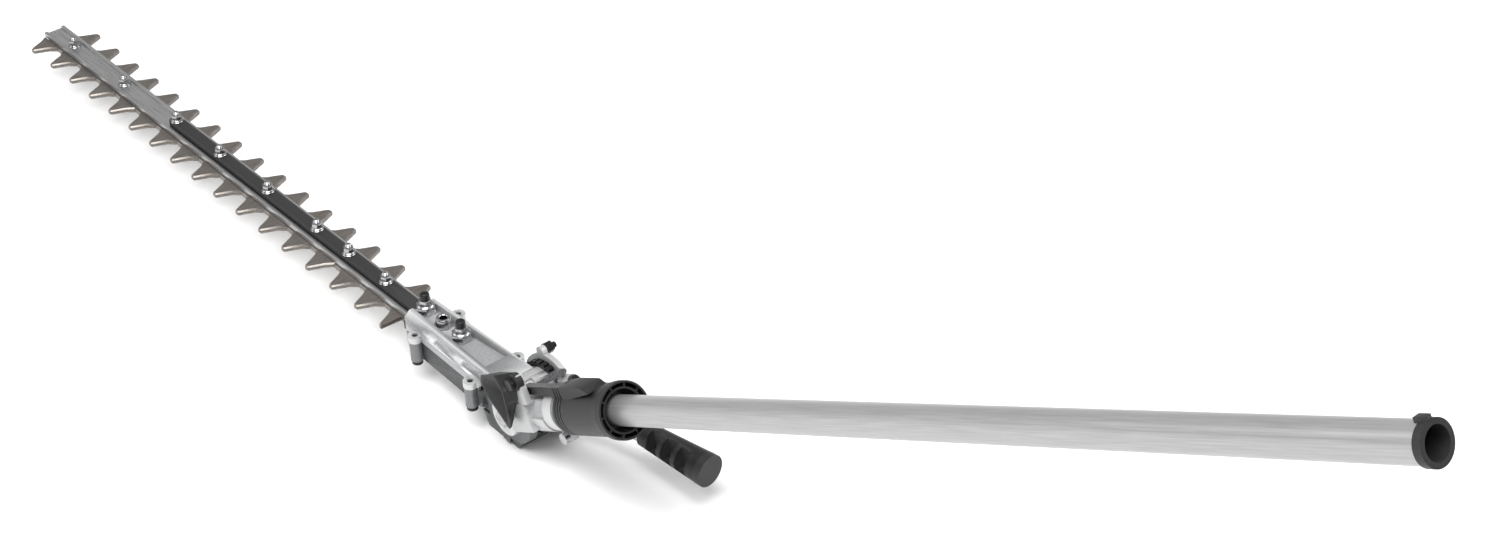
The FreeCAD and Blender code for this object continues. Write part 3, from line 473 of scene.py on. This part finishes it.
def cast_aluminium():
    """Die-cast aluminium, fine blasted: pale, even grey, soft sparkle, no strong reflections."""
    material, tree, shader = finish("cast_aluminium_blasted", "#a9aaab", 0.5, 0.42)
    if tree:
        noise = object_noise(tree, 1.1, 5.0)
        vary(tree, shader, noise, ("#9fa0a1", "#b3b4b5"), (0.36, 0.5), 0.12)
        worn_edges(tree, shader, "#dcdcdc", 0.7)
    return material


def sump_casting():
    """Shot-blasted casting of the lower case, coloured a darker mid grey than the upper case as
    painted shade: near black in its shadow.
    """
    # These dark greys are painted shade: the lower case is the same alloy as the upper case.
    material, tree, shader = finish("sump_casting_painted_shade", "#4c4d4e", 0.5, 0.5)
    if tree:
        noise = object_noise(tree, 1.4, 5.0)
        vary(tree, shader, noise, ("#434445", "#575859"), (0.42, 0.6), 0.16)
        worn_edges(tree, shader, "#a4a5a6", 0.5)
    return material


def anodised_tube():
    """Drawn tube, satin anodised: silvery, fine draw lines along it, a broad soft highlight."""
    material, tree, shader = finish("aluminium_tube_satin_anodised", "#a4a4a5", 0.55, 0.34)
    if tree:
        noise = object_noise(tree, 0.8, 2.0, vector_type="TEXTURE",
                             Rotation=(0, -math.asin(ALONG.z), 0), Scale=(50, 1, 1))
        vary(tree, shader, noise, ("#9e9e9f", "#ababac"), (0.3, 0.4), 0.01)
    return material


def ground_blade_steel():
    """Hardened blade steel, ground: warm mid grey with grinding marks across the blade."""
    material, tree, shader = finish("blade_steel_ground", "#7d7873", 0.75, 0.34)
    if tree:
        noise = object_noise(tree, 1.2, 4.0, Scale=(1, 0.08, 1))
        vary(tree, shader, noise, ("#716c67", "#8a847f"), (0.26, 0.42), 0.03)
    return material


def bright_bar_steel():
    """Rolled bar, bright: pale silver with long faint rolling lines."""
    material, tree, shader = finish("bar_steel_bright_rolled", "#a8a8a8", 0.8, 0.28)
    if tree:
        noise = object_noise(tree, 0.9, 4.0, Scale=(0.03, 1, 1))
        vary(tree, shader, noise, ("#9c9c9c", "#b6b6b6"), (0.22, 0.36), 0.02)
    return material


def plated_steel():
    """Zinc and chrome plated fasteners: bright, slightly uneven mirror."""
    material, tree, shader = finish("fastener_bright_plated", "#a6a6a8", 1.0, 0.2)
    if tree:
        vary(tree, shader, object_noise(tree, 2.2, 3.0), ("#98989a", "#b4b4b6"), (0.14, 0.28))
    return material


def black_oxide():
    """Black-oxided steel: near black with a low oily sheen."""
    material, tree, shader = finish("steel_black_oxide", "#121213", 0.3, 0.36)
    if tree:
        noise = object_noise(tree, 1.8, 4.0)
        vary(tree, shader, noise, ("#0f0f10", "#1a1a1b"), (0.3, 0.46), 0.03)
    return material


def moulded_polyamide():
    """Glass-filled black polyamide, moulded with a fine grain: charcoal with a dull sheen."""
    material, tree, shader = finish("polyamide_black_grained", "#19191a", 0.0, 0.5, 0.35)
    if tree:
        noise = object_noise(tree, 0.9, 6.0)
        vary(tree, shader, noise, ("#161617", "#202021"), (0.44, 0.58), 0.1)
        worn_edges(tree, shader, "#3c3c3d", 0.5)
    return material


def coated_strip():
    """Matt black coating on the stiffener strip, slightly mottled."""
    material, tree, shader = finish("strip_matt_black_coated", "#19191a", 0.0, 0.62, 0.3)
    if tree:
        noise = object_noise(tree, 2.4, 5.0)
        vary(tree, shader, noise, ("#161617", "#202021"), (0.54, 0.7), 0.04)
        worn_edges(tree, shader, "#484848", 0.5)
    return material


def gear_steel():
    """Case-hardened gear steel under oil: dark grey, glossy."""
    material, tree, shader = finish("gear_steel_oiled", "#7d7d80", 0.9, 0.25)
    if tree:
        noise = object_noise(tree, 1.5, 3.0)
        vary(tree, shader, noise, ("#6f6f72", "#8a8a8d"), (0.18, 0.34), 0.01)
    return material


def sintered_bronze():
    """Sintered bronze: porous, dull yellow brown."""
    material, tree, shader = finish("bronze_sintered", "#a98a52", 0.8, 0.42)
    if tree:
        noise = object_noise(tree, 0.6, 5.0)
        vary(tree, shader, noise, ("#94763f", "#b99a62"), (0.36, 0.55), 0.03)
    return material


def nitrile_rubber():
    """Black nitrile rubber: dark, matt, faintly bloomed."""
    material, tree, shader = finish("rubber_nitrile_black", "#202021", 0.0, 0.75)
    if tree:
        noise = object_noise(tree, 3.0, 4.0)
        vary(tree, shader, noise, ("#1c1c1d", "#2a2a2b"), (0.68, 0.85), 0.03)
    return material


def matt_floor():
    """Painted studio floor, matt: a pale, even white that takes soft shadows."""
    material, tree, shader = finish("floor_matt_white", "#ffffff", 0.0, 0.9, 0.1)
    if tree:
        vary(tree, shader, object_noise(tree, 400.0, 2.0), ("#fbfbfb", "#ffffff"), (0.85, 0.95))
    return material


FINISHES = {
    "cast_alloy": cast_aluminium,
    "sump_alloy": sump_casting,
    "tube_alloy": anodised_tube,
    "blade_steel": ground_blade_steel,
    "bar_steel": bright_bar_steel,
    "bright_fastener": plated_steel,
    "black_fastener": black_oxide,
    "black_plastic": moulded_polyamide,
    "black_strip": coated_strip,
    "gear_steel": gear_steel,
    "bearing_bronze": sintered_bronze,
    "spring_steel": gear_steel,
    "rubber": nitrile_rubber,
}


# ------------------------------------------------------------------ settings

class TrimmerShape(bpy.types.PropertyGroup):
    """Rounding of the castings and mouldings."""
    rounding: bpy.props.FloatProperty(
        name="Rounding", description="Factor on every rounded edge", default=1.0,
        subtype="FACTOR")


class TrimmerBlade(bpy.types.PropertyGroup):
    """Sizes of the ground teeth."""
    bevel: bpy.props.FloatProperty(
        name="Tooth bevel", description="Width of the ground edge", default=1.6 * MM,
        subtype="DISTANCE")


class TrimmerStudio(bpy.types.PropertyGroup):
    """Floor and camera."""
    floor: bpy.props.FloatProperty(
        name="Floor size", description="Side of the floor", default=30.0, subtype="DISTANCE")
    lens: bpy.props.FloatProperty(
        name="Lens", description="Focal length", default=59.93, unit="CAMERA")
    azimuth: bpy.props.FloatProperty(
        name="Azimuth", description="Camera's bearing", default=math.radians(49.504),
        subtype="ANGLE")
    elevation: bpy.props.FloatProperty(
        name="Elevation", description="Camera's height angle", default=math.radians(36.017),
        subtype="ANGLE")
    roll: bpy.props.FloatProperty(
        name="Roll", description="Camera's roll", default=math.radians(-0.996),
        subtype="ANGLE")
    place: bpy.props.FloatVectorProperty(
        name="Camera place", description="Camera's position", default=(1.2121, -0.8128, 1.2043),
        subtype="TRANSLATION")


SETTINGS = {
    "trimmer_shape": TrimmerShape,
    "trimmer_blade": TrimmerBlade,
    "trimmer_studio": TrimmerStudio,
}


# ------------------------------------------------------------------ pieces

class TRIMMER_OT_finishes(bpy.types.Operator):
    """Give every CAD node the finish of its material slot"""
    bl_idname = "trimmer.finishes"
    bl_label = "Finishes"

    def execute(self, context):
        for name, obj in frame["nodes"].items():
            material = FINISHES[SLOTS[name]]()
            if not obj.material_slots:
                obj.data.materials.append(material)
            for material_slot in obj.material_slots:
                material_slot.material = material
        return {"FINISHED"}


class TRIMMER_OT_castings(bpy.types.Operator):
    """Round the long edges of the castings and mouldings"""
    bl_idname = "trimmer.castings"
    bl_label = "Castings"

    def execute(self, context):
        rounding = context.scene.trimmer_shape.rounding
        for node, width in ROUNDED.items():
            skin = soften(cad_copy(node), width * rounding)
            piece(node, "skin", skin, FACETED.get(node, FOLD))
        return {"FINISHED"}


class TRIMMER_OT_blades(bpy.types.Operator):
    """Grind sloping edges on the teeth of both blades"""
    bl_idname = "trimmer.blades"
    bl_label = "Blades"

    def execute(self, context):
        width = context.scene.trimmer_blade.bevel / MM
        for node, outer in (("upper_blade", max), ("lower_blade", min)):
            bm = cad_copy(node)
            ground = self.tooth_edges(bm, outer(v.co.z for v in bm.verts))
            if not ground:
                raise RuntimeError("no tooth edges on " + node)
            bmesh.ops.bevel(bm, geom=ground, offset=width, offset_type="OFFSET", segments=1,
                            profile=0.5, affect="EDGES", clamp_overlap=True, material=-1)
            piece(node, "ground", bm, BLADE_FOLD)
        return {"FINISHED"}

    def tooth_edges(self, bm, level):
        """Edges round the teeth on the blade's outer face, which is at a level."""
        return [e for e in bm.edges
                if len(e.link_faces) == 2 and e.calc_length() > 0.8
                and all(abs(v.co.z - level) < 0.05 for v in e.verts)
                and all(abs(v.co.y) > TOOTH_ROOT for v in e.verts)
                and max(abs(v.co.y) for v in e.verts) > TOOTH_SIDE
                and e.calc_face_angle(0) > 0.8]


class TRIMMER_OT_bar_hardware(bpy.types.Operator):
    """Turn the bar bolts, their washers and their flanged nuts"""
    bl_idname = "trimmer.bar_hardware"
    bl_label = "Bar hardware"

    def execute(self, context):
        piece("bar_nuts", "turned", at_each("bar_nuts", bar_nut))
        piece("bar_washers", "turned", at_each("bar_washers", bar_washer))
        piece("bar_bolts", "threaded", at_each("bar_bolts", bar_bolt))
        return {"FINISHED"}


class TRIMMER_OT_stud_hardware(bpy.types.Operator):
    """Turn the large nuts, lock nuts, caps, studs and the grease fitting"""
    bl_idname = "trimmer.stud_hardware"
    bl_label = "Stud hardware"

    def execute(self, context):
        piece("case_nuts", "turned", at_each("case_nuts", case_nut))
        piece("lock_nuts", "turned", at_each("lock_nuts", lock_nut))
        piece("stud_caps", "turned", at_each("stud_caps", stud_cap))
        piece("case_studs", "threaded", at_each("case_studs", case_stud))
        piece("grease_boss", "turned", at_each("grease_boss", grease_fitting))
        return {"FINISHED"}


class TRIMMER_OT_joint_hardware(bpy.types.Operator):
    """Model the hex bolt on the ring and the socket screws of the ear, the cover and the case"""
    bl_idname = "trimmer.joint_hardware"
    bl_label = "Joint hardware"

    def execute(self, context):
        foot = side_middle(tube_box("lock_bolt"), (0, -1, 0))
        self.on_tube("lock_bolt", lock_bolt(), (0, 1, 0), foot)
        for node, outwards, shank, socket in (("ear_screw", (1, 0, 0), 2.4, 2.3),
                                              ("cover_screw", (0, -1, 0), 2.2, 2.2)):
            low, high = tube_box(node)
            length = abs((high - low).dot(Vector(outwards)))
            screw = socket_screw(JOINT_SCREW_HEAD, shank, socket, length)
            self.on_tube(node, screw, outwards, side_middle((low, high), outwards))
        piece("case_screws", "turned", at_each("case_screws", case_screw))
        return {"FINISHED"}

    def on_tube(self, node, fastener, direction, origin):
        """Stands a fastener on a point of the tube's frame and makes its piece."""
        placed = moved(fastener, matrix=TUBE_FRAME @ towards(direction, origin))
        piece(node, "turned", placed)


class TRIMMER_OT_tube(bpy.types.Operator):
    """Draw the tube and its end bush with rounded rims"""
    bl_idname = "trimmer.tube"
    bl_label = "Tube"

    def execute(self, context):
        low, high = tube_box("shaft_tube")
        wall = turned([(TUBE_INNER, low.x), (TUBE_OUTER, low.x), (TUBE_OUTER, high.x - TUBE_RIM),
                       (TUBE_OUTER - TUBE_RIM, high.x), (TUBE_INNER, high.x),
                       (TUBE_INNER, low.x)], TUBE_SEGMENTS)
        piece("shaft_tube", "drawn", moved(wall, matrix=TUBE_FRAME @ towards((1, 0, 0))))
        piece("end_collar", "moulded", soften(cad_copy("end_collar"), COLLAR_ROUNDED, over=1.5))
        return {"FINISHED"}


# ------------------------------------------------------------------ stage

class TRIMMER_OT_stage(bpy.types.Operator):
    """Build the floor, the soft lights and the camera"""
    bl_idname = "trimmer.stage"
    bl_label = "Stage"

    def execute(self, context):
        studio = context.scene.trimmer_studio
        self.floor(studio)
        for light in LIGHTS:
            self.light(*light)
        self.sky(context)
        self.camera(context, studio)
        return {"FINISHED"}

    def floor(self, studio):
        """A flat matt floor under the trimmer."""
        bm = bmesh.new()
        bmesh.ops.create_grid(bm, x_segments=1, y_segments=1, size=studio.floor / 2)
        mesh = bpy.data.meshes.new("floor")
        bm.to_mesh(mesh)
        bm.free()
        mesh.materials.append(matt_floor())
        floor = link_object("floor", mesh)

    def light(self, name, place, aim, size, power):
        """A rectangular soft light that looks at its aim."""
        data = bpy.data.lights.new(name, "AREA")
        data.shape = "RECTANGLE"
        data.size, data.size_y = size
        data.energy = power
        lamp = link_object(name, data)
        lamp.location = place
        lamp.rotation_euler = (Vector(aim) - Vector(place)).to_track_quat("-Z", "Y").to_euler()

    def sky(self, context):
        """An even white surround."""
        world = bpy.data.worlds.new("studio")
        world.use_nodes = True
        background = world.node_tree.nodes["Background"]
        background.inputs["Color"].default_value = (1, 1, 1, 1)
        background.inputs["Strength"].default_value = SKY_STRENGTH
        context.scene.world = world

    def camera(self, context, studio):
        """The camera at its place, turned by its bearing, height angle and roll."""
        a, e, r = studio.azimuth, studio.elevation, studio.roll
        back = Vector((math.sin(a) * math.cos(e), -math.cos(a) * math.cos(e), math.sin(e)))
        side = (-back).cross(Vector((0, 0, 1))).normalized()
        over = side.cross(-back)
        right = side * math.cos(r) + over * math.sin(r)
        up = over * math.cos(r) - side * math.sin(r)
        data = bpy.data.cameras.new("camera")
        data.lens = studio.lens
        data.sensor_width = SENSOR_WIDTH
        data.clip_end = VIEW_END
        camera = link_object("camera", data)
        matrix = Matrix((right, up, back)).transposed().to_4x4()
        matrix.translation = Vector(studio.place)
        camera.matrix_world = matrix
        context.scene.camera = camera
        context.scene.view_settings.view_transform = "Standard"


# ------------------------------------------------------------------ panel and run

class TRIMMER_PT_panel(bpy.types.Panel):
    """Lists the trimmer's pieces and settings"""
    bl_idname = "TRIMMER_PT_panel"
    bl_label = "Hedge Trimmer Head"
    bl_space_type = "VIEW_3D"
    bl_region_type = "UI"
    bl_category = "Trimmer"

    def draw(self, context):
        for operator in OPERATORS:
            self.layout.operator(operator.bl_idname)
        for name, group in SETTINGS.items():
            for setting in group.__annotations__:
                self.layout.prop(getattr(context.scene, name), setting)


OPERATORS = (
    TRIMMER_OT_finishes, TRIMMER_OT_castings, TRIMMER_OT_blades, TRIMMER_OT_bar_hardware,
    TRIMMER_OT_stud_hardware, TRIMMER_OT_joint_hardware, TRIMMER_OT_tube, TRIMMER_OT_stage,
)
CLASSES = (*SETTINGS.values(), *OPERATORS, TRIMMER_PT_panel)


def register():
    """Registers the classes and hangs the settings on the scene."""
    for cls in CLASSES:
        bpy.utils.register_class(cls)
    for name, group in SETTINGS.items():
        setattr(bpy.types.Scene, name, bpy.props.PointerProperty(type=group))


def unregister():
    """Undoes register."""
    for name in SETTINGS:
        delattr(bpy.types.Scene, name)
    for cls in reversed(CLASSES):
        bpy.utils.unregister_class(cls)


def main():
    """Runs every operator in order."""
    register()
    for operator in OPERATORS:
        group, name = operator.bl_idname.split(".")
        getattr(getattr(bpy.ops, group), name)()


if __name__ == "__main__":
    main()
